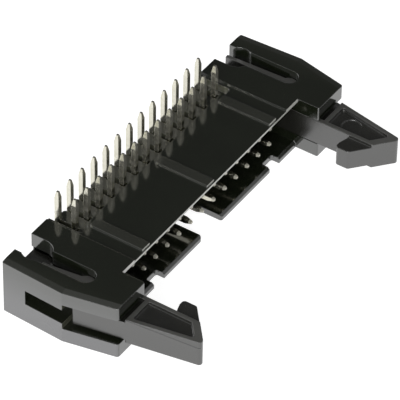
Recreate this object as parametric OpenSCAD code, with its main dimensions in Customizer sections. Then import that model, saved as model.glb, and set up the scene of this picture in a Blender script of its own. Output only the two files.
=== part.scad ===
// Right-angle box header with two ejector latches, lying with its board side up.
// Plan outlines are drawn as [across, forward]; plan() turns forward towards -Y.
// The front row of tails stands over forward = 0, and the body rests on z = 0.

/* [Pins] */
// Number of pin columns along the row
columns = 13; // [5:1:20]
// Distance between neighbouring columns
pitch = 2.54; // [2.4:0.02:2.8]
// Distance between the two rows, in the socket and at the tails
row_gap = 2.54; // [2.3:0.02:2.8]
// Side of the square posts
post_w = 0.64; // [0.5:0.02:0.8]
// Length that the tails stand out past the board side
tail_len = 3.6; // [2:0.1:6]
// Length that the posts stand up from the socket's floor
mate_len = 5.6; // [4:0.1:6.4]
// Length of the taper at each end of a post
tip_len = 0.9; // [0.4:0.1:1.4]
// Side of the small flat at each end of a post
tip_w = 0.3; // [0.1:0.05:0.45]
// Inside radius of each post's bend
bend_r = 0.35; // [0.2:0.05:0.5]

/* [Body] */
// Thickness of the body, from rest face to board side
body_h = 8; // [7.4:0.1:10]
// Drop from the board side to the long slab between the end blocks
slab_drop = 0.25; // [0.1:0.05:0.4]
// Height of the socket's opening
socket_h = 6.3; // [5.8:0.1:6.4]
// Depth of the socket, from mouth to floor
socket_depth = 6.8; // [6.4:0.1:9]
// Distance from the last column to the socket's end
end_room = 4.11; // [3.9:0.01:5]
// Thickness of the wall that holds the posts
back_wall = 2.55; // [1.5:0.05:4]
// Distance from the rear row of tails to the rear face
rear_margin = 0.59; // [0.45:0.01:1]
// Lead-in chamfer along the socket's mouth
mouth_chamfer = 0.3; // [0.1:0.05:0.4]
// Clearance all round a post in its hole
post_fit = 0.01; // [0.01:0.01:0.05]

/* [Tail comb] */
// Depth of the trough behind the slab, below the board side
trough_depth = 1.3; // [0.8:0.1:1.5]
// Distance that the trough reaches past the front tails
trough_front = 1.2; // [0.7:0.05:1.4]
// Clearance between a tail and each side of its slot
slot_side = 0.1; // [0.05:0.01:0.3]
// Clearance between a front tail and the front wall of its slot
slot_ahead = 0.13; // [0.05:0.01:0.3]
// Distance from the last tail to the trough's end
trough_end = 1.1; // [0.9:0.05:1.3]
// Width of the scooped corner at each end of the trough
scoop_w = 1.1; // [1.0:0.05:1.3]
// Distance that the scooped corners reach past the trough
scoop_len = 0.5; // [0.3:0.05:0.5]
// Width of the slope beside each scooped corner
scoop_run = 0.8; // [0.4:0.1:1.2]
// Radius of the comb's tooth ends
tooth_r = 0.35; // [0.1:0.05:0.6]

/* [Standoff ribs] */
// Width of each rib
rib_w = 1.5; // [0.6:0.1:2]
// Length of each rib
rib_len = 7.8; // [5:0.1:7.9]
// Distance from the mouth back to each rib
rib_back = 0.25; // [0.1:0.05:0.6]
// Distance from the middle rib to the outer ones
rib_x = 14; // [8:0.5:15]

/* [Polarising slots] */
// Width of the key slot in the lower wall
key_w = 4.4; // [4.2:0.1:5]
// Place of the key slot, from the middle
key_x = 0.1; // [-0.3:0.1:0.3]
// Width of the two short notches in the lower wall's rim
notch_w = 2.2; // [1:0.1:3]
// Depth of the short notches
notch_depth = 1.2; // [0.6:0.1:2]
// Place of the notch on the left, from the middle
notch_left_x = 11.45; // [8:0.05:15]
// Place of the notch on the right, from the middle
notch_right_x = 14.4; // [8:0.05:16]
// Radius of the lips of the key slot and the notches
lip_r = 0.3; // [0.1:0.05:0.4]

/* [End blocks] */
// Width of the slab's strip between the trough and a block
step_w = 0.45; // [0.2:0.05:0.8]
// Width of a block at the rear, past the socket's end
block_w = 6.7; // [6.4:0.01:9]
// Extra width of a block at its widest line
block_swell = 0.4; // [0:0.05:1]
// Width that a block loses from there to its front
block_taper = 1.5; // [1:0.05:1.6]
// Distance that a block stands out past the mouth
block_nose = 3.25; // [2:0.05:5]
// Radius of a block's upright corners
block_r = 0.4; // [0.1:0.05:0.8]
// Width of the sloped band along a block's outer top edge
band_w = 0.9; // [0.5:0.1:1.5]
// Drop of the sloped band at the block's side
band_drop = 0.12; // [0.05:0.01:0.2]
// Thickness of the end wall beside the latch
end_wall = 2.45; // [2.2:0.01:2.7]
// Length of the end wall, from the rear face
wall_len = 9.03; // [8.6:0.01:9.5]
// Height of the window in the end wall
window_h = 2.2; // [1:0.1:3]
// Length of the window in the end wall
window_len = 5.6; // [3:0.1:6]

/* [Latch wells] */
// Distance from the trough's end to the well that a latch's tail swings in
well_margin = 0.95; // [0.8:0.05:1]
// Length of the well's straight inner side
well_side = 1.45; // [1:0.05:2]
// Thickness of the thin wall that closes the well at the rear
well_wall = 0.15; // [0.1:0.01:0.16]
// Width of the shelf between the well and the socket's end
shelf_w = 0.55; // [0.4:0.05:0.8]
// Radius of the round port that the boss slot opens into
port_r = 1.93; // [1.85:0.01:2.1]
// Distance from the pivot's line in to the port's middle
port_in = 0.42; // [0.3:0.01:0.5]
// Distance from the rear face to the port's middle
port_back = 2.23; // [2:0.01:2.6]
// Width of the horn that stands in beside the port at the rear
horn_w = 0.2; // [0.1:0.05:0.4]

/* [Latches] */
// Thickness of a latch over the rims of its hook
latch_t = 3.7; // [3.4:0.1:4.2]
// Thickness of a latch elsewhere
web_t = 2.8; // [2.4:0.1:3.2]
// Gap between a latch and the plate on each side of it
latch_gap = 0.1; // [0.05:0.01:0.3]
// Radius of the round bosses that a latch turns on
boss_r = 1.2; // [1.1:0.01:1.3]
// Clearance round the bosses
boss_fit = 0.045; // [0.02:0.005:0.08]
// Height of the bosses and of the rails above the rims
boss_h = 1.0; // [0.5:0.05:1.2]
// Radius of the round pads that guide a latch between the plates
hub_r = 1.9; // [1.6:0.1:2.4]
// Distance from the end wall's front edge forward to the pivot
pivot_lead = 0.65; // [0.5:0.05:0.8]
// Distance from the pivot's line in to the tail's inner edge
tail_in_w = 2.525; // [2.3:0.025:2.7]
// Gap between the tail's end and the rear face
tail_back = 0.18; // [0.1:0.01:0.4]
// Gap between the tail and the walls beside it
tail_fit = 0.15; // [0.1:0.01:0.2]
// Half the width of a rail where it leaves the boss
rail_half = 0.8; // [0.5:0.05:1]
// Distance from the pivot's line in to a rail's inner edge
rail_in_w = 0.08; // [0.02:0.01:0.1]
// Distance from the pivot's line out to a rail's outer corner at the tail
rail_out_w = 0.4; // [0.3:0.05:0.6]
// Distance from the pivot back to the bend in a rail's inner edge
rail_bend = 5.35; // [4:0.05:6]
// Distance from the pivot back to the end of the short rail
rail_short = 6.25; // [6.1:0.05:8]
// Distance that the shoulder lies inside a block's widest line
shoulder_in = 1.0; // [0.7:0.05:1.4]
// Distance from the pivot forward to the shoulder
shoulder_rise = 0.05; // [0.05:0.05:0.6]
// Radius of the shoulder's corner
shoulder_r = 0.2; // [0.1:0.05:0.4]
// Distance that the arm lies inside a block's front corner
arm_inset = 0.8; // [0.5:0.05:1.2]
// Distance from the blocks' front to the first rim of the hook
base_gap = 0.45; // [0.3:0.05:0.8]
// Length of a latch's hook past the front of the blocks
hook_reach = 10.45; // [9.6:0.05:13]
// Width of the hook at its end, past the socket's end
hook_w = 2.95; // [2.6:0.05:3.4]
// Distance that the hook's nose reaches in over the socket
hook_nose = 2.4; // [1.5:0.05:3]
// Distance from the mouth to the nose, for the plug's height
plug_room = 7.25; // [6.5:0.05:7.5]
// Length of the nose's end
nose_len = 1.9; // [1.4:0.05:2.4]
// Radius of the corner that ends the hook
hook_r = 0.45; // [0.3:0.05:0.9]
// Length of the nose's straight back edge, which catches the plug
nose_catch = 0.9; // [0.7:0.05:1.2]
// Distance that the back edge slants forward from there to the arm
nose_dip = 0.45; // [0.1:0.05:0.6]
// Radius of the nose's corners
nose_r = 0.45; // [0.2:0.05:0.7]
// Width of the rims along the hook's panel
rim_w = 0.6; // [0.4:0.05:0.8]
// Length of the rim that ends the hook's panel
end_rim = 1.27; // [0.9:0.01:1.5]
// Radius of the round moulding mark in the panel
mark_r = 1.27; // [0.8:0.01:1.3]
// Depth of the moulding mark
mark_depth = 0.1; // [0.05:0.01:0.2]
// Distance from the arm's inner edge to the mark's middle
mark_in = 2.0; // [1.95:0.05:2.1]
// Distance from the first rim forward to the mark's middle
mark_lead = 3.2; // [2:0.1:5]
// Distance that the kicker reaches in over the socket's floor
kick_reach = 1.65; // [1:0.05:2]
// Length of the kicker
kick_len = 1.22; // [0.9:0.02:1.6]
// Gap between the kicker and the socket's floor
kick_gap = 0.08; // [0.05:0.01:0.2]

/* [Hidden] */
e = 0.01;
over = 5;
pin_ids = [for (i = [1:columns]) i];

mid_z = body_h / 2;
near_z = mid_z + row_gap / 2;
far_z = mid_z - row_gap / 2;
slab_z = body_h - slab_drop;
tail_z = body_h + tail_len;
row_half = (columns - 1) * pitch / 2;

rear = -row_gap - rear_margin;
slot_half = post_w / 2 + slot_side;
slot_front = post_w / 2 + slot_ahead;
floor_m = slot_front + back_wall;
mouth = floor_m + socket_depth;
front = mouth + block_nose;
mate_tip = floor_m + mate_len;

socket_half = row_half + end_room;
socket_lo = mid_z - socket_h / 2;
socket_hi = mid_z + socket_h / 2;

trough_z = body_h - trough_depth;
trough_half = row_half + trough_end;
step_half = trough_half + step_w;

block_rear_x = socket_half + block_w;
widest_x = block_rear_x + block_swell;
block_front_x = widest_x - block_taper;
wall_in_x = block_rear_x - end_wall;
gap_lo = mid_z - latch_t / 2 - latch_gap;
gap_hi = mid_z + latch_t / 2 + latch_gap;

seat_r = boss_r + boss_fit;
pivot_x = wall_in_x - seat_r;
wall_m = rear + wall_len;
pivot_m = wall_m + pivot_lead;
port_x = pivot_x - port_in;
port_m = rear + port_back;
well_x = trough_half + well_margin;

rim_lo = mid_z - latch_t / 2;
rim_hi = mid_z + latch_t / 2;
web_lo = mid_z - web_t / 2;
web_hi = mid_z + web_t / 2;
tail_in = pivot_x - tail_in_w;
tail_out = wall_in_x - tail_fit;
tail_m = rear + tail_back;
kick_m = floor_m + kick_gap;
arm_x = block_front_x - arm_inset;
base_m = front + base_gap;
tip_x = socket_half + hook_w;
tip_m = front + hook_reach;
nose_x = socket_half - hook_nose;
nose_m = mouth + plug_room;
nose_end_m = nose_m + nose_len;
side_slope = (tip_x - arm_x) / (tip_m - base_m);
end_slope = (tip_m - nose_end_m) / (tip_x - nose_x);

// Unit vector along v.
function unit(v) = v / norm(v);

// Arc that rounds corner b of the path a, b, c.
function corner(a, b, c, r, n = 6) =
    let (u = unit(a - b), w = unit(c - b),
         half = acos(u * w) / 2,
         centre = b + unit(u + w) * r / sin(half),
         from = b + u * r / tan(half) - centre,
         to = b + w * r / tan(half) - centre,
         start = atan2(from.y, from.x),
         turn = (atan2(to.y, to.x) - start + 540) % 360 - 180)
    [for (i = [0:n]) centre + r * [cos(start + turn * i / n), sin(start + turn * i / n)]];

// Outline whose points [x, y, r] are rounded by their own radius.
function rounded(points) =
    let (n = len(points), flat = [for (p = points) [p.x, p.y]])
    [for (i = [0:n - 1]) each points[i].z == 0 ? [flat[i]]
        : corner(flat[(i + n - 1) % n], flat[i], flat[(i + 1) % n], points[i].z)];

// Raises a plan outline from z0 to z1, with forward turned towards -Y.
module plan(z0, z1) {
    translate([0, 0, z0]) mirror([0, 1, 0]) linear_extrude(z1 - z0) children();
}

// Box given in plan coordinates.
module plan_box(x0, x1, m0, m1, z0, z1) {
    plan(z0, z1) translate([x0, m0]) square([x1 - x0, m1 - m0]);
}

// Draws its child on the right and mirrored on the left.
module both_ends() {
    children();
    mirror([1, 0, 0]) children();
}

// ---- Housing ----

// Outline of the right end block.
module block_plan() {
    polygon(rounded([
        [step_half, rear, 0], [block_rear_x, rear, block_r / 2], [widest_x, wall_m, 0],
        [block_front_x, front, block_r], [socket_half, front, block_r / 2],
        [socket_half, mouth, 0], [step_half, mouth, 0]]));
}

// Space above the sloped band along the right block's side from a to b.
module band_cut(a, b) {
    run = b - a;
    slope = band_drop / band_w;
    mirror([0, 1, 0]) translate([a.x, a.y, body_h]) rotate([0, 0, atan2(run.y, run.x)])
        rotate([90, 0, 90]) translate([0, 0, -over]) linear_extrude(norm(run) + 2 * over)
            polygon([[band_w, 0], [-over, -slope * (band_w + over)], [-over, over], [band_w, over]]);
}

// Low ribs that hold the slab off the board.
module ribs() {
    rib_m = mouth - rib_back;
    for (x = [-rib_x, 0, rib_x])
        plan(slab_z - e, body_h) polygon(rounded([
            [x - rib_w / 2, rib_m - rib_len, rib_w / 4], [x + rib_w / 2, rib_m - rib_len, rib_w / 4],
            [x + rib_w / 2, rib_m, 0], [x - rib_w / 2, rib_m, 0]]));
}

// Open socket with its chamfered mouth.
module socket_space() {
    plan_box(-socket_half, socket_half, floor_m, mouth + over, socket_lo, socket_hi);
    rotate([90, 0, 90]) translate([0, 0, -socket_half]) linear_extrude(2 * socket_half)
        polygon([
            [-mouth + mouth_chamfer + e, socket_lo], [-mouth - e, socket_lo - mouth_chamfer],
            [-mouth - e, socket_hi + mouth_chamfer], [-mouth + mouth_chamfer + e, socket_hi]]);
    plan_box(-socket_half, socket_half, mouth, front + over, -over, body_h + over);
}

// Key slot and the two short notches in the lower wall.
module polarising_cuts() {
    lip = key_w / 2 + 1;
    plan(-e, mid_z) translate([key_x, 0]) polygon(rounded([
        [-key_w / 2, floor_m, 0], [key_w / 2, floor_m, 0],
        [key_w / 2, mouth, lip_r], [lip, mouth, 0], [lip, mouth + 1, 0],
        [-lip, mouth + 1, 0], [-lip, mouth, 0], [-key_w / 2, mouth, lip_r]]));
    for (x = [-notch_left_x, notch_right_x])
        plan(-e, socket_lo + e) polygon(rounded([
            [x - notch_w / 2, mouth + 1, 0], [x - notch_w / 2, mouth - notch_depth, lip_r],
            [x + notch_w / 2, mouth - notch_depth, lip_r], [x + notch_w / 2, mouth + 1, 0]]));
}

// Trough behind the slab, with a scooped corner at each end.
module trough() {
    scoop_m = trough_front + scoop_len;
    scoop_x = trough_half - scoop_w;
    slope_x = scoop_x - scoop_run;
    plan(trough_z, body_h + e)
        polygon(rounded([
            [-trough_half, rear - 1, 0], [trough_half, rear - 1, 0],
            [trough_half, scoop_m, scoop_len], [scoop_x, scoop_m, scoop_len],
            [slope_x, trough_front, 0], [-slope_x, trough_front, 0],
            [-scoop_x, scoop_m, scoop_len], [-trough_half, scoop_m, scoop_len]]));
}

// Upright slot that one column's two tails stand in, open to the rear.
module tail_slot(x) {
    tooth_end = slot_half + tooth_r + e;
    plan(far_z - post_w / 2 - slot_side, body_h + e)
        polygon(rounded([
            [x - tooth_end, rear - 1, 0], [x + tooth_end, rear - 1, 0],
            [x + tooth_end, rear, 0], [x + slot_half, rear, tooth_r],
            [x + slot_half, slot_front, 0], [x - slot_half, slot_front, 0],
            [x - slot_half, rear, tooth_r], [x - tooth_end, rear, 0]]));
}

// Square holes that one column's posts pass through.
module post_holes(x) {
    w = post_w + 2 * post_fit;
    for (z = [near_z, far_z])
        plan_box(x - w / 2, x + w / 2, slot_front - 1, floor_m + 1, z - w / 2, z + w / 2);
}

// Space between a block's two plates, open to the socket, the front, the side and the rear.
module latch_space() {
    closed_x = tail_in - tail_fit;
    plan(gap_lo, gap_hi) polygon([
        [closed_x, rear - 1], [wall_in_x, rear - 1], [wall_in_x, wall_m],
        [widest_x + over, wall_m], [widest_x + over, front + over], [socket_half - e, front + over],
        [socket_half - e, floor_m], [socket_half - shelf_w, floor_m], [well_x, rear + well_side],
        [well_x, rear + well_wall], [closed_x, rear + well_wall]]);
}

// Slot in the plates that seats a latch's bosses and opens into a port at the rear.
module boss_slot() {
    port_w = wall_in_x - horn_w - port_x + port_r;
    plan(-over, body_h + over) {
        translate([pivot_x, pivot_m]) circle(r = seat_r, $fn = 48);
        translate([pivot_x - seat_r, port_m]) square([2 * seat_r, pivot_m - port_m]);
        translate([port_x, port_m]) circle(r = port_r, $fn = 48);
        translate([port_x - port_r, rear - 1]) square([port_w, port_m - rear + 1]);
    }
}

// Window through the end wall.
module window() {
    plan_box(wall_in_x - e, widest_x + over, wall_m - window_len, wall_m + e,
        mid_z - window_h / 2, mid_z + window_h / 2);
}

// One-piece moulded housing.
module housing() {
    color([0.09, 0.09, 0.085])
    difference() {
        union() {
            plan_box(-step_half - e, step_half + e, rear, mouth, 0, slab_z);
            both_ends() plan(0, body_h) block_plan();
            ribs();
        }
        socket_space();
        polarising_cuts();
        trough();
        for (i = pin_ids) {
            tail_slot(pin_x(i));
            post_holes(pin_x(i));
        }
        both_ends() {
            latch_space();
            boss_slot();
            window();
            band_cut([block_rear_x, rear], [widest_x, wall_m]);
            band_cut([widest_x, wall_m], [block_front_x, front]);
        }
    }
}

// ---- Latches ----

// Outline of the right latch when shut.
module latch_plan() {
    kick_x = socket_half - kick_reach;
    polygon(rounded([
        [tail_in, tail_m, tail_fit / 2], [tail_out, tail_m, tail_fit], [tail_out, pivot_m, tail_fit],
        [widest_x - shoulder_in, pivot_m + shoulder_rise, shoulder_r], [arm_x, base_m, 0],
        [tip_x, tip_m, hook_r], [nose_x, nose_end_m, nose_r],
        [nose_x, nose_m, nose_r], [nose_x + nose_catch, nose_m, shoulder_r],
        [socket_half, nose_m + nose_dip, tail_fit],
        [socket_half, kick_m + kick_len, tail_fit], [kick_x, kick_m + kick_len, nose_r / 2],
        [kick_x, kick_m, nose_r / 2], [tail_in, kick_m, 0]]));
}

// Sunk panel inside the hook's rims.
module panel_plan() {
    panel_m = base_m + rim_w;
    in_x = socket_half + rim_w;
    side_x = arm_x - rim_w;
    // The panel's side line meets its end line at corner_x.
    corner_x = (side_x + side_slope * (nose_end_m - end_slope * nose_x - end_rim - base_m))
        / (1 - side_slope * end_slope);
    polygon(rounded([
        [in_x, panel_m, 0], [side_x + side_slope * rim_w, panel_m, rim_w / 2],
        [corner_x, nose_end_m + end_slope * (corner_x - nose_x) - end_rim, rim_w / 2],
        [in_x, nose_end_m + end_slope * (in_x - nose_x) - end_rim, rim_w / 4]]));
}

// Rims on both faces, round the hook's panel and back along the arm's inner edge.
module rim_plan() {
    arm_m = kick_m + kick_len;
    difference() {
        intersection() {
            latch_plan();
            union() {
                translate([socket_half, base_m]) square([widest_x, tip_m]);
                translate([socket_half, arm_m]) square([rim_w, tip_m]);
            }
        }
        panel_plan();
    }
}

// Rail from the boss back to length behind the pivot.
module rail_plan(length) {
    end_x = pivot_x + rail_half + (rail_out_w - rail_half) * length / (pivot_m - tail_m);
    polygon([
        [pivot_x - rail_half, pivot_m], [pivot_x + rail_half, pivot_m], [end_x, pivot_m - length],
        [pivot_x - rail_in_w, pivot_m - length], [pivot_x - rail_in_w, pivot_m - rail_bend]]);
}

// Latch for the right end. The rail on one face runs to the tail's end.
module latch() {
    difference() {
        plan(web_lo, web_hi) latch_plan();
        plan(web_hi - mark_depth, web_hi + e)
            translate([socket_half + mark_in, base_m + mark_lead]) circle(r = mark_r, $fn = 48);
    }
    plan(rim_lo, rim_hi) rim_plan();
    plan(rim_lo, rim_hi) intersection() {
        latch_plan();
        translate([pivot_x, pivot_m]) circle(r = hub_r, $fn = 48);
    }
    plan(rim_lo - boss_h, rim_hi + boss_h) translate([pivot_x, pivot_m]) circle(r = boss_r, $fn = 48);
    plan(web_hi - e, rim_hi + boss_h) rail_plan(pivot_m - tail_m);
    plan(rim_lo - boss_h, web_lo + e) rail_plan(rail_short);
}

module latch_right() {
    color([0.13, 0.13, 0.13]) latch();
}

// The same moulding turned over.
module latch_left() {
    color([0.13, 0.13, 0.13]) translate([0, 0, body_h]) rotate([0, 180, 0]) latch();
}

// ---- Pins ----

// Place of a column along the row.
function pin_x(i) = (i - 1) * pitch - row_half;

// Four-sided taper that ends a post, pointing up from z = 0.
module taper() {
    side = [[-post_w / 2, 0], [post_w / 2, 0], [tip_w / 2, tip_len], [-tip_w / 2, tip_len]];
    intersection() {
        rotate([90, 0, 0]) linear_extrude(post_w, center = true) polygon(side);
        rotate([90, 0, 90]) linear_extrude(post_w, center = true) polygon(side);
    }
}

// Straight square post standing up from z = 0, tapered at its top.
module post(length) {
    translate([-post_w / 2, -post_w / 2, 0]) cube([post_w, post_w, length - tip_len]);
    translate([0, 0, length - tip_len]) taper();
}

// Bent post with its tail at forward = m and its socket end at height z.
module bent_pin(x, m, z) {
    bend = bend_r + post_w / 2;
    color([0.80, 0.79, 0.74]) translate([x, -m, z]) {
        translate([0, 0, bend]) post(tail_z - z - bend);
        translate([0, -bend, 0]) rotate([90, 0, 0]) post(mate_tip - m - bend);
        translate([0, -bend, bend]) rotate([90, 0, 90])
            rotate_extrude(angle = -90, $fn = 48) translate([bend_r, -post_w / 2]) square(post_w);
    }
}

housing();
latch_left();
latch_right();
for (i = pin_ids) {
    bent_pin(pin_x(i), 0, near_z);
    bent_pin(pin_x(i), -row_gap, far_z);
}
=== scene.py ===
# %% [markdown]
# # A right-angle box header, dressed for the camera
#
# The object is a 26-way pin header in a black moulded housing, with an ejector latch at each
# end. It lies with its board side up, so its tinned tails stand in the air. Its shapes come
# ready from the frame. What is left to do here is the finish of three materials, the floor,
# the light and the camera.

# %% Load the frame
import math

import bpy
from mathutils import Matrix, Vector


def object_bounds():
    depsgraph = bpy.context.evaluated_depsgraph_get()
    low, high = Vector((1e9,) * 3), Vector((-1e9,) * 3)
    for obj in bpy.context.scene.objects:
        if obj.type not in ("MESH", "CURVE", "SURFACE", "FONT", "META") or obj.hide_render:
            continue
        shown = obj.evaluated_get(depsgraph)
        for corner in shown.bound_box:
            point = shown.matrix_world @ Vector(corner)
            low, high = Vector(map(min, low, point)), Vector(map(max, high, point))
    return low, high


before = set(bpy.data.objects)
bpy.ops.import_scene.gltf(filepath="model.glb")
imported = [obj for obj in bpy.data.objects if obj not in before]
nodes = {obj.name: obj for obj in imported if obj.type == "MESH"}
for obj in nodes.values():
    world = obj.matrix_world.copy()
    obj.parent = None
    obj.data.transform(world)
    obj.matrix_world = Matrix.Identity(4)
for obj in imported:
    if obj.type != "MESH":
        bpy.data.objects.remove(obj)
frame_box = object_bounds()
MM = 0.001
print("pieces in the frame:", len(nodes))
print("size in mm:", [round((b - a) / MM, 2) for a, b in zip(*frame_box)])

# %% [markdown]
# ## The camera
#
# A long lens from well away is how a catalogue shows a small connector: it keeps the two ends
# nearly the same size. A camera could be aimed by a constraint, but here three axes are
# written out, because a hand-held shot also leans a little to one side, and a matrix says all
# of that at once. Its distance is measured from the middle of the part.

# %% Aim the camera
AZIMUTH = math.radians(-56.93)
ELEVATION = math.radians(41.99)
ROLL = math.radians(1.08)
DISTANCE = 468.6 * MM
LENS = 342.06
AIM = Vector((-0.42, -8.33, 4.79)) * MM

back = Vector((math.sin(AZIMUTH) * math.cos(ELEVATION),
               -math.cos(AZIMUTH) * math.cos(ELEVATION),
               math.sin(ELEVATION)))
level_right = Vector((math.cos(AZIMUTH), math.sin(AZIMUTH), 0.0))
level_up = back.cross(level_right)
right = level_right * math.cos(ROLL) + level_up * math.sin(ROLL)
up = back.cross(right)

camera_data = bpy.data.cameras.new("camera")
camera_data.sensor_width = 36.0
camera_data.lens = LENS
camera_data.clip_start = 0.01
camera_data.clip_end = 20.0
camera = bpy.data.objects.new("camera", camera_data)
camera.matrix_world = Matrix((
    (right.x, up.x, back.x, AIM.x + back.x * DISTANCE),
    (right.y, up.y, back.y, AIM.y + back.y * DISTANCE),
    (right.z, up.z, back.z, AIM.z + back.z * DISTANCE),
    (0.0, 0.0, 0.0, 1.0)))
bpy.context.scene.collection.objects.link(camera)
bpy.context.scene.camera = camera
print("camera stands at, in mm:", [round(v / MM, 1) for v in camera.matrix_world.translation])

# %% [markdown]
# ## Tools for the materials
#
# Every material below is a small tree of nodes. Two helpers are enough. One turns a colour
# written in hex, as a paint chart gives it, into the linear values that a renderer adds up.
# The other adds a node with its settings and its links in one line, so that a tree reads
# from top to bottom.

# %% Colour and node helpers
def linear(hex_colour):
    """Linear RGBA from an sRGB hex colour such as "1f1f1d"."""
    channels = [int(hex_colour[i:i + 2], 16) / 255.0 for i in (0, 2, 4)]
    return tuple(c / 12.92 if c <= 0.04045 else ((c + 0.055) / 1.055) ** 2.4
                 for c in channels) + (1.0,)


def add(tree, kind, settings=None, inputs=None):
    """Adds a node. settings are its properties; inputs are values, or outputs to link from."""
    node = tree.nodes.new(kind)
    for name, value in (settings or {}).items():
        setattr(node, name, value)
    for name, value in (inputs or {}).items():
        socket = node.inputs[name]
        if isinstance(value, bpy.types.NodeSocket):
            tree.links.new(value, socket)
        else:
            socket.default_value = value
    return node


def new_material(name):
    """An empty material and its tree."""
    material = bpy.data.materials.new(name)
    material.use_nodes = True
    material.node_tree.nodes.clear()
    return material, material.node_tree


print("linear mid grey:", [round(c, 3) for c in linear("808080")[:3]])

# %% [markdown]
# ## Black glass-filled polyester, moulded and polished
#
# The housing of such a header is a glass-filled polyester (PBT), shot into a polished mould.
# It comes out black with a soft gloss: the eye sees it by its reflections far more than by
# its own colour. Short glass fibres leave the skin very slightly uneven, which blurs those
# reflections, and the flow of the melt leaves faint differences in gloss. The mould's edges
# are never perfectly sharp, so each edge of the part catches a thin line of light. Modelling
# those tiny radii would cost thousands of faces; a Bevel node rounds the shading instead.

# %% Housing plastic
EDGE_RADIUS = 0.14 * MM      # radius of a moulded edge
FIBRE_GRAIN = 0.12 * MM      # spacing of the fibre dimples, coarser than real so that they show
FLOW_PATCH = 5.0 * MM        # size of the patches where the gloss changes
NOISE_LOW, NOISE_HIGH = 0.3, 0.7   # the range that a noise mostly keeps to
SLAB_TOP = 7.75 * MM         # the long slab; only the ribs stand above it between the blocks
RIB_REACH = 16.7 * MM        # the blocks begin past this distance from the middle
STRIP_FROM = 23.4 * MM       # a block's top dulls outward from here ...
STRIP_TO = 25.6 * MM         # ... and is dullest from here to its outer edge

housing_plastic, tree = new_material("black_glass_filled_polyester")
place = add(tree, "ShaderNodeTexCoord")
spot = add(tree, "ShaderNodeSeparateXYZ", {}, {"Vector": place.outputs["Object"]})
facing = add(tree, "ShaderNodeSeparateXYZ", {}, {"Vector": place.outputs["Normal"]})
flow = add(tree, "ShaderNodeTexNoise", {},
           {"Vector": place.outputs["Object"], "Scale": 1.0 / FLOW_PATCH, "Detail": 3.0,
            "Roughness": 0.55})
grain = add(tree, "ShaderNodeTexNoise", {},
            {"Vector": place.outputs["Object"], "Scale": 1.0 / FIBRE_GRAIN, "Detail": 2.0})
print("housing plastic: grain", FIBRE_GRAIN / MM, "mm, edge radius", EDGE_RADIUS / MM, "mm")

# %% [markdown]
# The ribs and the outer strips of the two end blocks are made duller and a little greyer than the
# polished rest. A mask finds the ribs by their height between the blocks. The strips come in
# gradually with the distance from the middle.

# %% Mask of the duller faces
RIB_STEP = 0.15 * MM         # a rib's top is looked for from this far above the slab
LEVEL = 0.9                  # upward part of the normal from which a face counts as level
STRIP_DULL = 0.5             # how dull a strip gets, where a rib's top is 1

raised = add(tree, "ShaderNodeMath", {"operation": "GREATER_THAN"},
             {0: spot.outputs["Z"], 1: SLAB_TOP + RIB_STEP})
across = add(tree, "ShaderNodeMath", {"operation": "ABSOLUTE"}, {0: spot.outputs["X"]})
inboard = add(tree, "ShaderNodeMath", {"operation": "LESS_THAN"},
              {0: across.outputs["Value"], 1: RIB_REACH})
rib_top = add(tree, "ShaderNodeMath", {"operation": "MULTIPLY"},
              {0: raised.outputs["Value"], 1: inboard.outputs["Value"]})
level_face = add(tree, "ShaderNodeMath", {"operation": "GREATER_THAN"},
                 {0: facing.outputs["Z"], 1: LEVEL})
outward = add(tree, "ShaderNodeMapRange", {},
              {"Value": across.outputs["Value"], "From Min": STRIP_FROM, "From Max": STRIP_TO,
               "To Min": 0.0, "To Max": STRIP_DULL})
strip = add(tree, "ShaderNodeMath", {"operation": "MULTIPLY"},
            {0: level_face.outputs["Value"], 1: outward.outputs["Result"]})
dull = add(tree, "ShaderNodeMath", {"operation": "MAXIMUM"},
           {0: rib_top.outputs["Value"], 1: strip.outputs["Value"]})
print("ribs from z", round((SLAB_TOP + RIB_STEP) / MM, 2), "mm up, within", RIB_REACH / MM, "mm")

# %% [markdown]
# The outer end faces are painted paler toward their lower edge. This is painted light, standing in
# for the light that the white floor throws up onto them. The mask grows from the top down, on
# faces of the end blocks that look sideways.

# %% Mask of the painted floor light on the end faces
FLOOR_LIGHT_TOP = 7.0 * MM          # no painted floor light above this height
FLOOR_LIGHT_FULL = 2.5 * MM         # full painted floor light from here down
BLOCK_SIDE = 21.0 * MM       # the blocks' side faces lie past this distance from the middle
SIDEWAYS = 0.6               # part of the normal along X from which a face looks sideways

sideways = add(tree, "ShaderNodeMath", {"operation": "ABSOLUTE"}, {0: facing.outputs["X"]})
end_face = add(tree, "ShaderNodeMath", {"operation": "GREATER_THAN"},
               {0: sideways.outputs["Value"], 1: SIDEWAYS})
low_down = add(tree, "ShaderNodeMapRange", {},
               {"Value": spot.outputs["Z"], "From Min": FLOOR_LIGHT_TOP, "From Max": FLOOR_LIGHT_FULL,
                "To Min": 0.0, "To Max": 1.0})
far_out = add(tree, "ShaderNodeMath", {"operation": "GREATER_THAN"},
              {0: across.outputs["Value"], 1: BLOCK_SIDE})
outer_face = add(tree, "ShaderNodeMath", {"operation": "MULTIPLY"},
                 {0: end_face.outputs["Value"], 1: far_out.outputs["Value"]})
# Painted floor light: the end faces grow paler toward their lower edge.
painted_floor_light = add(tree, "ShaderNodeMath", {"operation": "MULTIPLY"},
            {0: outer_face.outputs["Value"], 1: low_down.outputs["Result"]})
print("paler skin from z", FLOOR_LIGHT_TOP / MM, "mm down to", FLOOR_LIGHT_FULL / MM, "mm")

# %% [markdown]
# The rim of the mouth gets a painted highlight in a pale grey. It shows as one bright line along
# the slab's front edge, where the rounded edge catches the light of the white floor.

# %% Mask of the painted highlight on the rim
MOUTH = -9.8 * MM            # the rim's plane, along Y
RIM_HALF = 0.32 * MM         # the rim reaches this far to either side of it
RIM_DROP = 0.5 * MM          # and this far down from the slab's top
FORWARD = -0.6               # part of the normal along Y below which a face looks forward

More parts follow.
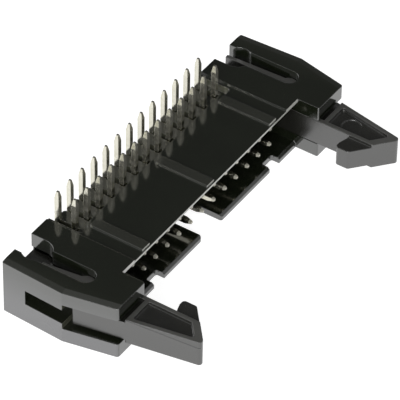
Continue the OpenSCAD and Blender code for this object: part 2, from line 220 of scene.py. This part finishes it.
forward = add(tree, "ShaderNodeMath", {"operation": "LESS_THAN"},
              {0: facing.outputs["Y"], 1: FORWARD})
at_mouth = add(tree, "ShaderNodeMath", {"operation": "COMPARE"},
               {0: spot.outputs["Y"], 1: MOUTH, 2: RIM_HALF})
high = add(tree, "ShaderNodeMath", {"operation": "GREATER_THAN"},
           {0: spot.outputs["Z"], 1: SLAB_TOP - RIM_DROP})
upper = add(tree, "ShaderNodeMath", {"operation": "MULTIPLY"},
            {0: forward.outputs["Value"], 1: high.outputs["Value"]})
# Painted highlight: the bright line along the mouth's rim.
rim_highlight = add(tree, "ShaderNodeMath", {"operation": "MULTIPLY"},
          {0: upper.outputs["Value"], 1: at_mouth.outputs["Value"]})
print("pale rim", RIM_DROP / MM, "mm deep at y", MOUTH / MM, "mm")

# %% [markdown]
# The comb that holds the tails has matt upright faces that are clearly greyer than the slab.
# So small a shape is often cut by spark erosion in a separate insert of the mould, and is hard
# to polish. They are found by the strip of depth that the comb takes up between the end blocks.

# %% Mask of the matt comb
COMB_MIDDLE = 0.3 * MM       # the middle of the comb's strip, along Y
COMB_HALF = 2.5 * MM         # half its depth
COMB_FLOOR = 4.5 * MM        # its lowest faces
UPRIGHT = 0.5                # upward part of the normal below which a face counts as upright

in_strip = add(tree, "ShaderNodeMath", {"operation": "COMPARE"},
               {0: spot.outputs["Y"], 1: COMB_MIDDLE, 2: COMB_HALF})
above_floor = add(tree, "ShaderNodeMath", {"operation": "GREATER_THAN"},
                  {0: spot.outputs["Z"], 1: COMB_FLOOR})
upright = add(tree, "ShaderNodeMath", {"operation": "LESS_THAN"},
              {0: facing.outputs["Z"], 1: UPRIGHT})
comb_part = add(tree, "ShaderNodeMath", {"operation": "MULTIPLY"},
                {0: in_strip.outputs["Value"], 1: above_floor.outputs["Value"]})
comb_face = add(tree, "ShaderNodeMath", {"operation": "MULTIPLY"},
                {0: comb_part.outputs["Value"], 1: upright.outputs["Value"]})
comb = add(tree, "ShaderNodeMath", {"operation": "MULTIPLY"},
           {0: comb_face.outputs["Value"], 1: inboard.outputs["Value"]})
print("matt comb is", round(2 * COMB_HALF / MM, 1), "mm deep")

# %% [markdown]
# The end of each end wall, beside the latch's shoulder, gets the same grey as the comb, as painted
# light. It lies in a narrow gap in shade, where a gloss black would vanish.

# %% Mask of the painted light on the end walls' ends
WALL_END = -5.95 * MM        # the plane of these faces, along Y
WALL_END_HALF = 0.15 * MM    # how far to either side of it they are looked for

at_wall_end = add(tree, "ShaderNodeMath", {"operation": "COMPARE"},
                  {0: spot.outputs["Y"], 1: WALL_END, 2: WALL_END_HALF})
# Painted light on the end walls' ends, in the narrow gap.
painted_gap_light = add(tree, "ShaderNodeMath", {"operation": "MULTIPLY"},
               {0: at_wall_end.outputs["Value"], 1: forward.outputs["Value"]})
matt_comb_and_gap_light = add(tree, "ShaderNodeMath", {"operation": "MAXIMUM"},
                 {0: comb.outputs["Value"], 1: painted_gap_light.outputs["Value"]})
print("matt wall ends at y", WALL_END / MM, "mm")

# %% [markdown]
# The colours are laid over each other from the general to the special: the two blacks of the
# flow first, then the dull faces, the painted floor light, the matt comb with the painted light on
# the end walls' ends, and the painted highlight on the rim last. Polyester of this kind has an IOR
# near 1.6. It is set higher here, and the specular level with it, until the end faces show the
# white sheet as brightly as the real skin does.

# %% Colour, gloss and surface of the housing
BLACK_A, BLACK_B = "13160e", "1a1e15"   # both faintly olive
DULL_BLACK = "25271f"
# painted floor light on the lower end faces
FLOOR_LIGHT_GREY = "4c4c4e"
# the comb's grey, which is also painted light on the end walls' ends
MATT_AND_GAP_LIGHT_GREY = "55564a"
# painted highlight on the mouth's rim
RIM_HIGHLIGHT_GREY = "d0d0c8"
GLOSS_MIN, GLOSS_MAX = 0.08, 0.13       # roughness of the polished faces
DULL_EXTRA = 0.14                       # roughness that the dull faces add
HOUSING_IOR = 1.76
DIMPLE_STRENGTH = 0.25
DIMPLE_DEPTH = 0.0015 * MM

tint = add(tree, "ShaderNodeMix", {"data_type": "RGBA"},
           {"Factor": flow.outputs["Fac"], "A": linear(BLACK_A), "B": linear(BLACK_B)})
worn = add(tree, "ShaderNodeMix", {"data_type": "RGBA"},
           {"Factor": dull.outputs["Value"], "A": tint.outputs["Result"], "B": linear(DULL_BLACK)})
# The painted floor light pales the lower end faces.
drawn = add(tree, "ShaderNodeMix", {"data_type": "RGBA"},
            {"Factor": painted_floor_light.outputs["Value"], "A": worn.outputs["Result"],
             "B": linear(FLOOR_LIGHT_GREY)})
# The comb's grey also paints light into the end walls' ends.
matt = add(tree, "ShaderNodeMix", {"data_type": "RGBA"},
           {"Factor": matt_comb_and_gap_light.outputs["Value"], "A": drawn.outputs["Result"],
            "B": linear(MATT_AND_GAP_LIGHT_GREY)})
# The painted highlight on the mouth's rim goes on last.
pale = add(tree, "ShaderNodeMix", {"data_type": "RGBA"},
           {"Factor": rim_highlight.outputs["Value"], "A": matt.outputs["Result"], "B": linear(RIM_HIGHLIGHT_GREY)})
gloss = add(tree, "ShaderNodeMapRange", {},
            {"Value": flow.outputs["Fac"], "From Min": NOISE_LOW, "From Max": NOISE_HIGH,
             "To Min": GLOSS_MIN, "To Max": GLOSS_MAX})
rough = add(tree, "ShaderNodeMath", {"operation": "MULTIPLY_ADD"},
            {0: dull.outputs["Value"], 1: DULL_EXTRA, 2: gloss.outputs["Result"]})
edge = add(tree, "ShaderNodeBevel", {"samples": 6}, {"Radius": EDGE_RADIUS})
dimples = add(tree, "ShaderNodeBump", {},
              {"Height": grain.outputs["Fac"], "Strength": DIMPLE_STRENGTH,
               "Distance": DIMPLE_DEPTH, "Normal": edge.outputs["Normal"]})
skin = add(tree, "ShaderNodeBsdfPrincipled", {},
           {"Base Color": pale.outputs["Result"], "Roughness": rough.outputs["Value"],
            "IOR": HOUSING_IOR, "Specular IOR Level": 1.0, "Normal": dimples.outputs["Normal"]})
add(tree, "ShaderNodeOutputMaterial", {}, {"Surface": skin.outputs["BSDF"]})
print("housing plastic: nodes", len(tree.nodes))

# %% [markdown]
# ## Black nylon, moulded in a satin mould
#
# A latch has to flex and slide, so it is moulded in nylon, in a mould whose faces were left
# with a fine spark-eroded grain. It reads a little greyer and flatter than the housing.

# %% Latch plastic
SPARK_GRAIN = 0.16 * MM      # pitch of the eroded grain, coarser than real so that it shows
RIM_TOP = 5.85 * MM          # the faces that rub on the housing's plates stand from here up
OUTER_SIDE = 22.2 * MM       # the hook's outer side lies past this distance from the middle

latch_plastic, tree = new_material("black_satin_nylon")
place = add(tree, "ShaderNodeTexCoord")
spot = add(tree, "ShaderNodeSeparateXYZ", {}, {"Vector": place.outputs["Object"]})
facing = add(tree, "ShaderNodeSeparateXYZ", {}, {"Vector": place.outputs["Normal"]})
flow = add(tree, "ShaderNodeTexNoise", {},
           {"Vector": place.outputs["Object"], "Scale": 1.0 / FLOW_PATCH, "Detail": 3.0})
grain = add(tree, "ShaderNodeTexNoise", {},
            {"Vector": place.outputs["Object"], "Scale": 1.0 / SPARK_GRAIN, "Detail": 3.0})
print("latch plastic: grain", SPARK_GRAIN / MM, "mm")

# %% [markdown]
# The faces that rub, on the rims and the rails, are made a greyer, flatter black than the sunk
# panel. A fine dark parting line of the mould runs along the outer side below the top rim, and
# the strip above it is dull too. Modelling a line so fine would add nothing that its colour
# doesn't show. Heights in the piece's own coordinates find both, so they stay in place when
# the latch swings.

# %% Masks of the rubbed faces and the parting line
RIM_SLACK = 0.1 * MM         # the rim's faces are looked for from this far below their height
LINE_Z = 7.16 * MM           # height of the parting line's plane where Y is zero
LINE_SLOPE = 0.1             # its climb for each length along Y
LINE_HALF = 0.06 * MM        # half the line's width
HOOK_END = -20.0 * MM        # a place near the hook's end, along Y

level_face = add(tree, "ShaderNodeMath", {"operation": "GREATER_THAN"},
                 {0: facing.outputs["Z"], 1: LEVEL})
standing = add(tree, "ShaderNodeMath", {"operation": "GREATER_THAN"},
               {0: spot.outputs["Z"], 1: RIM_TOP - RIM_SLACK})
rubbed = add(tree, "ShaderNodeMath", {"operation": "MULTIPLY"},
             {0: level_face.outputs["Value"], 1: standing.outputs["Value"]})
across = add(tree, "ShaderNodeMath", {"operation": "ABSOLUTE"}, {0: spot.outputs["X"]})
outer = add(tree, "ShaderNodeMath", {"operation": "GREATER_THAN"},
            {0: across.outputs["Value"], 1: OUTER_SIDE})
upright = add(tree, "ShaderNodeMath", {"operation": "LESS_THAN"},
              {0: facing.outputs["Z"], 1: UPRIGHT})
outer_side = add(tree, "ShaderNodeMath", {"operation": "MULTIPLY"},
                 {0: outer.outputs["Value"], 1: upright.outputs["Value"]})
line_drop = add(tree, "ShaderNodeMath", {"operation": "MULTIPLY_ADD"},
                {0: spot.outputs["Y"], 1: LINE_SLOPE, 2: LINE_Z})
line_gap = add(tree, "ShaderNodeMath", {"operation": "SUBTRACT"},
               {0: spot.outputs["Z"], 1: line_drop.outputs["Value"]})
on_line = add(tree, "ShaderNodeMath", {"operation": "COMPARE"},
              {0: line_gap.outputs["Value"], 1: 0.0, 2: LINE_HALF})
line = add(tree, "ShaderNodeMath", {"operation": "MULTIPLY"},
           {0: on_line.outputs["Value"], 1: outer_side.outputs["Value"]})
above_line = add(tree, "ShaderNodeMath", {"operation": "GREATER_THAN"},
                 {0: line_gap.outputs["Value"], 1: 0.0})
strip = add(tree, "ShaderNodeMath", {"operation": "MULTIPLY"},
            {0: above_line.outputs["Value"], 1: outer_side.outputs["Value"]})
print("parting line at z", round((LINE_Z + LINE_SLOPE * HOOK_END) / MM, 2),
      "mm near the hook's end")

# %% [markdown]
# The latch's colours are laid in the same order: the blacks, the grey of the rims and rails, and
# the line. Its edges are rounder than the housing's. Nylon has an IOR near 1.53, and it too is set
# higher to match the brightness of the real sides.

# %% Colour, gloss and surface of the latch
NYLON_A, NYLON_B = "1a1a17", "23231f"
RIM_AND_RAIL_GREY = "3a3a36"
LINE_BLACK = "050505"
SATIN_MIN, SATIN_MAX = 0.2, 0.28        # roughness of the satin faces
RUBBED_EXTRA = 0.2                      # roughness that the rubbed faces add
LINE_EXTRA = 0.5                        # and the line
ROUNDER = 1.3                           # times the housing's edge radius
NYLON_IOR = 1.66
GRAIN_STRENGTH = 0.4
GRAIN_DEPTH = 0.003 * MM

tint = add(tree, "ShaderNodeMix", {"data_type": "RGBA"},
           {"Factor": flow.outputs["Fac"], "A": linear(NYLON_A), "B": linear(NYLON_B)})
greyer = add(tree, "ShaderNodeMix", {"data_type": "RGBA"},
             {"Factor": rubbed.outputs["Value"], "A": tint.outputs["Result"],
              "B": linear(RIM_AND_RAIL_GREY)})
inked = add(tree, "ShaderNodeMix", {"data_type": "RGBA"},
            {"Factor": line.outputs["Value"], "A": greyer.outputs["Result"],
             "B": linear(LINE_BLACK)})
gloss = add(tree, "ShaderNodeMapRange", {},
            {"Value": flow.outputs["Fac"], "From Min": NOISE_LOW, "From Max": NOISE_HIGH,
             "To Min": SATIN_MIN, "To Max": SATIN_MAX})
dull = add(tree, "ShaderNodeMath", {"operation": "MAXIMUM"},
           {0: rubbed.outputs["Value"], 1: strip.outputs["Value"]})
rough = add(tree, "ShaderNodeMath", {"operation": "MULTIPLY_ADD"},
            {0: dull.outputs["Value"], 1: RUBBED_EXTRA, 2: gloss.outputs["Result"]})
rougher = add(tree, "ShaderNodeMath", {"operation": "MULTIPLY_ADD"},
              {0: line.outputs["Value"], 1: LINE_EXTRA, 2: rough.outputs["Value"]})
edge = add(tree, "ShaderNodeBevel", {"samples": 6}, {"Radius": ROUNDER * EDGE_RADIUS})
dimples = add(tree, "ShaderNodeBump", {},
              {"Height": grain.outputs["Fac"], "Strength": GRAIN_STRENGTH,
               "Distance": GRAIN_DEPTH, "Normal": edge.outputs["Normal"]})
skin = add(tree, "ShaderNodeBsdfPrincipled", {},
           {"Base Color": inked.outputs["Result"], "Roughness": rougher.outputs["Value"],
            "IOR": NYLON_IOR, "Specular IOR Level": 1.0, "Normal": dimples.outputs["Normal"]})
add(tree, "ShaderNodeOutputMaterial", {}, {"Surface": skin.outputs["BSDF"]})
print("latch plastic: nodes", len(tree.nodes))

# %% [markdown]
# ## Tin-plated brass
#
# The posts are square brass wire with bright tin plated over it. Tin is a warm white metal
# with a slightly cloudy shine. The wire was drawn before it was plated, so fine lines run
# along it. On a bent post the lines turn with the bend, but at this size a noise stretched
# along each of the two directions would look the same, so one noise is squeezed across the
# row only: every post shows lines that run along both of its legs.
#
# The tails read a little flatter than the bodies of the posts, as tin does under a thin film of
# oxide. Such a film scatters light as a pale paint does, so there the finish is mixed from metal
# and a share of paint. The tips in the socket get a much larger share of the pale paint as a
# painted highlight, so that they look nearly white.

# %% Post metal
DRAW_LINE = 0.05 * MM        # spacing of the drawing lines across a post
CLOUD = 0.6 * MM             # size of the cloudy patches in the plating
TAIL_FROM = 8.0 * MM         # the tails stand above this height
TIP_FROM = -8.2 * MM         # the posts' tips in the socket lie forward of here, along Y
TAIL_FILM = 0.1              # share of paint on the tails
TIP_GLINT_PAINT = 0.75              # painted highlight: share of paint on the tips
ALONG_WIRE = 0.15            # the noise is stretched along the wire by one over this
TIN_A, TIN_B = "c6c3b2", "e6e4d8"
TIN_MIN, TIN_MAX = 0.14, 0.24          # roughness of the clear and the cloudy patches
POST_EDGE = 0.05 * MM        # radius of the wire's edges
LINE_STRENGTH = 0.3
LINE_DEPTH = 0.002 * MM

tinned_brass, tree = new_material("tin_plated_brass")
place = add(tree, "ShaderNodeTexCoord")
squeeze = add(tree, "ShaderNodeMapping", {},
              {"Vector": place.outputs["Object"],
               "Scale": (1.0 / DRAW_LINE, ALONG_WIRE / DRAW_LINE, ALONG_WIRE / DRAW_LINE)})
lines = add(tree, "ShaderNodeTexNoise", {},
            {"Vector": squeeze.outputs["Vector"], "Scale": 1.0, "Detail": 2.0})
cloud = add(tree, "ShaderNodeTexNoise", {},
            {"Vector": place.outputs["Object"], "Scale": 1.0 / CLOUD, "Detail": 3.0})
tint = add(tree, "ShaderNodeMix", {"data_type": "RGBA"},
           {"Factor": cloud.outputs["Fac"], "A": linear(TIN_A), "B": linear(TIN_B)})
gloss = add(tree, "ShaderNodeMapRange", {},
            {"Value": cloud.outputs["Fac"], "From Min": NOISE_LOW, "From Max": NOISE_HIGH,
             "To Min": TIN_MIN, "To Max": TIN_MAX})
spot = add(tree, "ShaderNodeSeparateXYZ", {}, {"Vector": place.outputs["Object"]})
tail = add(tree, "ShaderNodeMath", {"operation": "GREATER_THAN"},
           {0: spot.outputs["Z"], 1: TAIL_FROM})
tip = add(tree, "ShaderNodeMath", {"operation": "LESS_THAN"},
          {0: spot.outputs["Y"], 1: TIP_FROM})
# Painted highlight: the tips are mixed toward pale paint, so they read as a white glint.
painted_tip_glint = add(tree, "ShaderNodeMath", {"operation": "MULTIPLY"},
               {0: tip.outputs["Value"], 1: TIP_GLINT_PAINT})
film_and_tip_glint = add(tree, "ShaderNodeMath", {"operation": "MULTIPLY_ADD"},
             {0: tail.outputs["Value"], 1: TAIL_FILM, 2: painted_tip_glint.outputs["Value"]})
metal = add(tree, "ShaderNodeMath", {"operation": "SUBTRACT"},
            {0: 1.0, 1: film_and_tip_glint.outputs["Value"]})
edge = add(tree, "ShaderNodeBevel", {"samples": 6}, {"Radius": POST_EDGE})
drawn = add(tree, "ShaderNodeBump", {},
            {"Height": lines.outputs["Fac"], "Strength": LINE_STRENGTH,
             "Distance": LINE_DEPTH, "Normal": edge.outputs["Normal"]})
skin = add(tree, "ShaderNodeBsdfPrincipled", {},
           {"Base Color": tint.outputs["Result"], "Metallic": metal.outputs["Value"],
            "Roughness": gloss.outputs["Result"], "Normal": drawn.outputs["Normal"]})
add(tree, "ShaderNodeOutputMaterial", {}, {"Surface": skin.outputs["BSDF"]})
print("post metal: lines", DRAW_LINE / MM, "mm apart")

# %% [markdown]
# Each piece came from the frame with a slot that names its material. The finish goes into that
# slot, so the faces keep the slot that they were given.

# %% Give each piece its material
for name, piece in nodes.items():
    if name == "housing":
        finish = housing_plastic
    elif name.startswith("latch"):
        finish = latch_plastic
    else:
        finish = tinned_brass
    for slot in piece.material_slots:
        slot.material = finish
print("slots on the housing:", len(nodes["housing"].material_slots))

# %% [markdown]
# ## The floor
#
# A catalogue shot stands on a white sheet that is lit until it nearly vanishes. Lighting it
# with more lamps would also light the part. Instead the sheet glows a little by itself for
# the camera and for reflections, and stays an ordinary white sheet for everything else, so
# that it still keeps the soft shadow under the part.

# %% Floor
FLOOR_GLOW = 0.9             # share of the sheet's white that doesn't depend on the lamps
PAPER_SCALE = 900.0          # clouds of about 3 mm on a sheet 3 m wide
PAPER_A, PAPER_B = "a8a8a8", "b0b0b0"
FLOOR_HALF = 1.5             # half the sheet's width, in metres
FLOOR_GAP = 0.01 * MM        # keeps the sheet clear of the rest face

floor_paper, tree = new_material("white_paper")
path = add(tree, "ShaderNodeLightPath")
seen = add(tree, "ShaderNodeMath", {"operation": "MAXIMUM"},
           {0: path.outputs["Is Camera Ray"], 1: path.outputs["Is Glossy Ray"]})
level = add(tree, "ShaderNodeMath", {"operation": "MULTIPLY"},
            {0: seen.outputs["Value"], 1: FLOOR_GLOW})
fibres = add(tree, "ShaderNodeTexNoise", {}, {"Scale": PAPER_SCALE, "Detail": 2.0})
white = add(tree, "ShaderNodeMix", {"data_type": "RGBA"},
            {"Factor": fibres.outputs["Fac"], "A": linear(PAPER_A), "B": linear(PAPER_B)})
paper = add(tree, "ShaderNodeBsdfDiffuse", {}, {"Color": white.outputs["Result"]})
glow = add(tree, "ShaderNodeEmission", {},
           {"Color": (1.0, 1.0, 1.0, 1.0), "Strength": level.outputs["Value"]})
sheet = add(tree, "ShaderNodeAddShader", {},
            {0: paper.outputs["BSDF"], 1: glow.outputs["Emission"]})
add(tree, "ShaderNodeOutputMaterial", {}, {"Surface": sheet.outputs["Shader"]})

floor_mesh = bpy.data.meshes.new("floor")
floor_z = frame_box[0][2] - FLOOR_GAP
floor_mesh.from_pydata([(x, y, floor_z) for x, y in
                        ((-FLOOR_HALF, -FLOOR_HALF), (FLOOR_HALF, -FLOOR_HALF),
                         (FLOOR_HALF, FLOOR_HALF), (-FLOOR_HALF, FLOOR_HALF))],
                       [], [(0, 1, 2, 3)])
floor = bpy.data.objects.new("floor", floor_mesh)
floor.data.materials.append(floor_paper)
bpy.context.scene.collection.objects.link(floor)
print("floor at z", round(floor_z / MM, 3), "mm")

# %% [markdown]
# ## The light
#
# One broad soft lamp stands low on the left, where it fills the end faces and the sides of
# the posts, and a weak one stands behind. The room above is dim, so the upper faces stay black
# and show only what stands on them. The wall on the right is dimmer than the one on the left,
# and only the ceiling straight above is pale. Two pale cards hang high, one in front on the
# right and one behind on the left. The slab doesn't show them, but the tails' two near faces
# do, and the slab shows those faces as soft upright streaks. The world holds all of this by
# direction, and is plain white to the camera itself.

# %% Lamps
def soft_lamp(name, direction, distance, size, level):
    """A square lamp aimed at the part. At level 1 a white card facing it renders white."""
    data = bpy.data.lights.new(name, "AREA")
    data.shape = "SQUARE"
    data.size = size
    data.energy = level * (math.pi * distance) ** 2
    lamp = bpy.data.objects.new(name, data)
    direction = Vector(direction).normalized()
    lamp.location = AIM + direction * distance
    lamp.rotation_euler = direction.to_track_quat("Z", "Y").to_euler()
    bpy.context.scene.collection.objects.link(lamp)


soft_lamp("side_lamp", direction=(-0.85, -0.25, 0.42), distance=0.7, size=0.45, level=0.85)
soft_lamp("back_lamp", direction=(0.1, 0.9, 0.5), distance=0.8, size=0.5, level=0.25)

# %% [markdown]
# The world's levels below are shares of white. Each one fades between two values of X or Z of
# the unit vector that points from the part to that place in the room, or with the cosine of
# the angle to a card's middle.

# %% World
LEFT_X, RIGHT_X = -0.2, 0.5             # the wall fades between these
LEFT_WALL, RIGHT_WALL = 0.8, 0.2
LOW_Z, HIGH_Z = 0.15, 0.55              # the wall darkens to the room's level between these
DIM_ROOM = 0.05
CEILING_FROM, CEILING_FULL = 0.78, 0.96
CEILING = 0.45
CARD_EDGE, CARD_CORE = 0.82, 0.94       # cosines where a card begins and where it is full
CARD = 0.3
CARD_DIRECTIONS = ((0.62, -0.41, 0.67),     # where the two pale cards hang,
                   (-0.62, 0.41, 0.67))     # seen from the part

world = bpy.data.worlds.new("studio")
world.use_nodes = True
tree = world.node_tree
tree.nodes.clear()
ray = add(tree, "ShaderNodeTexCoord")
split = add(tree, "ShaderNodeSeparateXYZ", {}, {"Vector": ray.outputs["Generated"]})
wall = add(tree, "ShaderNodeMapRange", {},
           {"Value": split.outputs["X"], "From Min": LEFT_X, "From Max": RIGHT_X,
            "To Min": LEFT_WALL, "To Max": RIGHT_WALL})
height = add(tree, "ShaderNodeMapRange", {},
             {"Value": split.outputs["Z"], "From Min": LOW_Z, "From Max": HIGH_Z,
              "To Min": wall.outputs["Result"], "To Max": DIM_ROOM})
overhead = add(tree, "ShaderNodeMapRange", {},
               {"Value": split.outputs["Z"], "From Min": CEILING_FROM,
                "From Max": CEILING_FULL, "To Min": 0.0, "To Max": CEILING})
both = add(tree, "ShaderNodeMath", {"operation": "ADD"},
           {0: height.outputs["Result"], 1: overhead.outputs["Result"]})
for direction in CARD_DIRECTIONS:
    toward = add(tree, "ShaderNodeVectorMath", {"operation": "DOT_PRODUCT"},
                 {0: ray.outputs["Generated"], 1: tuple(Vector(direction).normalized())})
    card = add(tree, "ShaderNodeMapRange", {},
               {"Value": toward.outputs["Value"], "From Min": CARD_EDGE,
                "From Max": CARD_CORE, "To Min": 0.0, "To Max": CARD})
    both = add(tree, "ShaderNodeMath", {"operation": "ADD"},
               {0: both.outputs["Value"], 1: card.outputs["Result"]})
path = add(tree, "ShaderNodeLightPath")
level = add(tree, "ShaderNodeMix", {"data_type": "FLOAT"},
            {"Factor": path.outputs["Is Camera Ray"], "A": both.outputs["Value"], "B": 1.0})
room = add(tree, "ShaderNodeBackground", {},
           {"Color": (1.0, 1.0, 1.0, 1.0), "Strength": level.outputs["Result"]})
add(tree, "ShaderNodeOutputWorld", {}, {"Surface": room.outputs["Background"]})
bpy.context.scene.world = world
bpy.context.scene.view_settings.view_transform = "Standard"
print("world: nodes", len(tree.nodes))
